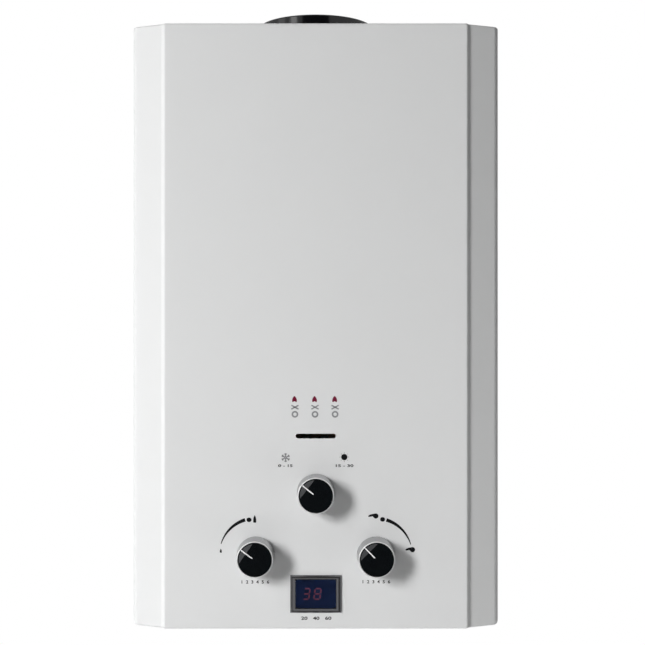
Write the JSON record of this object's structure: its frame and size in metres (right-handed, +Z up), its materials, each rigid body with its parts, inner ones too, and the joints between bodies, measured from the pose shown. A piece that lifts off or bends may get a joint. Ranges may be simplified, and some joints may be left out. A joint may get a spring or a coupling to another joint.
{
  "type": "wall-hung gas water heater",
  "caption": "Wall-hung instantaneous gas water heater: folded white steel cabinet with a round flue collar on top, control knobs, a flame sight slot and a small display.",
  "frame": {"origin": "midway between the two hanging holes, on the wall plane at the back", "axes": "+Z up, +Y into the wall, +X to the right as seen from the front; the front faces -Y"},
  "size_m": [0.3336, 0.1703, 0.568],
  "materials": {
    "white_enamel": "white stoved enamel, satin to gloss",
    "galvanised_steel": "galvanised sheet, dull spangle",
    "aluminised_steel": "aluminised sheet, satin",
    "black_enamel": "black gloss enamel",
    "copper": "bright copper, slightly tarnished",
    "stainless_steel": "brushed stainless",
    "zinc_plated_steel": "bright zinc plate",
    "cast_aluminium": "die cast, matt",
    "brass": "machined brass, satin",
    "silver_plate": "satin silver plate",
    "black_gloss_plastic": "gloss black",
    "dark_chrome": "dark polished chrome",
    "smoked_lens": "smoked blue-black, glossy",
    "red_light": "dim red segments",
    "dark_plastic": "matt black moulding",
    "grey_plastic": "matt grey moulding",
    "clear_glass": "clear heat-proof glass",
    "black_rubber": "matt rubber",
    "solenoid_finish": "lacquered coil wrap",
    "cell_jacket": "plain printed sleeve, satin",
    "white_ceramic": "glazed ceramic"
  },
  "bodies": {
    "heater": {"back_plate": "galvanised_steel", "batteries": "cell_jacket", "battery_box": "grey_plastic", "battery_contacts": "stainless_steel", "burner_bars": "stainless_steel", "burner_tray": "galvanised_steel", "chamber_brackets": "galvanised_steel", "cold_union": "brass", "combustion_chamber": "copper", "cover_screws": "zinc_plated_steel", "diaphragm": "black_rubber", "diaphragm_bolts": "zinc_plated_steel", "display_bezel": "dark_chrome", "display_digits": "red_light", "display_lens": "smoked_lens", "display_module": "dark_plastic", "draft_hood": "aluminised_steel", "electrode_brackets": "galvanised_steel", "flame_sensor": "white_ceramic", "flue_collar": "black_enamel", "front_cover": "white_enamel", "gas_jets": "brass", "gas_manifold": "cast_aluminium", "gas_union": "brass", "gas_valve_body": "cast_aluminium", "gas_valve_cover": "cast_aluminium", "gas_valve_screws": "zinc_plated_steel", "heat_exchanger": "copper", "hot_pipe": "copper", "hot_union": "brass", "ignition_module": "dark_plastic", "lid_hinge_pin": "stainless_steel", "microswitch": "dark_plastic", "pipe_bracket": "galvanised_steel", "return_bends": "copper", "season_valve": "cast_aluminium", "sight_window": "clear_glass", "sight_window_clip": "galvanised_steel", "solenoid_valve": "solenoid_finish", "spark_electrodes": "white_ceramic", "thermostats": "dark_plastic", "valve_brackets": "galvanised_steel", "water_coil": "copper", "water_valve_body": "brass", "water_valve_cover": "brass"},
    "season_control": {"season_knob": "silver_plate", "season_knob_cap": "black_gloss_plastic", "season_spindle": "brass"},
    "gas_control": {"gas_knob": "silver_plate", "gas_knob_cap": "black_gloss_plastic", "gas_spindle": "brass"},
    "water_control": {"water_knob": "silver_plate", "water_knob_cap": "black_gloss_plastic", "water_spindle": "brass"},
    "rod_set": {"push_rod": "stainless_steel", "return_spring": "stainless_steel"},
    "switch_lever": {"microswitch_lever": "stainless_steel"},
    "plunger": {"solenoid_plunger": "zinc_plated_steel"},
    "lid": {"battery_lid": "grey_plastic"},
    "drain": {"drain_plug": "grey_plastic"}
  },
  "joints": [
    {"name": "season_knob_turn", "type": "hinge", "parent": "heater", "child": "season_control", "pos_m": [0, -0.16, -0.3805], "axis": [0, 1, 0], "range_deg": [0, 90]},
    {"name": "gas_knob_turn", "type": "hinge", "parent": "heater", "child": "gas_control", "pos_m": [-0.0534, -0.16, -0.4363], "axis": [0, 1, 0], "range_deg": [-28, 52]},
    {"name": "water_knob_turn", "type": "hinge", "parent": "heater", "child": "water_control", "pos_m": [0.0534, -0.16, -0.4363], "axis": [0, 1, 0], "range_deg": [0, 127]},
    {"name": "push_rod_slide", "type": "slide", "parent": "heater", "child": "rod_set", "axis": [-1, 0, 0], "range_m": [0, 0.003], "stiffness_N_per_m": 300, "springref_m": -0.002},
    {"name": "switch_lever_swing", "type": "hinge", "parent": "heater", "child": "switch_lever", "pos_m": [-0.0096, -0.097, -0.4215], "axis": [0, 1, 0], "range_deg": [0, 17.3]},
    {"name": "solenoid_plunger_slide", "type": "slide", "parent": "heater", "child": "plunger", "axis": [-1, 0, 0], "range_m": [0, 0.0025], "stiffness_N_per_m": 300, "springref_m": -0.002},
    {"name": "battery_lid_swing", "type": "hinge", "parent": "heater", "child": "lid", "pos_m": [-0.1235, -0.0638, -0.4994], "axis": [1, 0, 0], "range_deg": [0, 100]},
    {"name": "drain_plug_turn", "type": "hinge", "parent": "heater", "child": "drain", "pos_m": [0.046, -0.11, -0.466], "axis": [0, 0, 1], "range_deg": [0, 270]}
  ],
  "couplings": [
    {"joint": "switch_lever_swing", "follows": "push_rod_slide", "rad_per_m": 100}
  ]
}
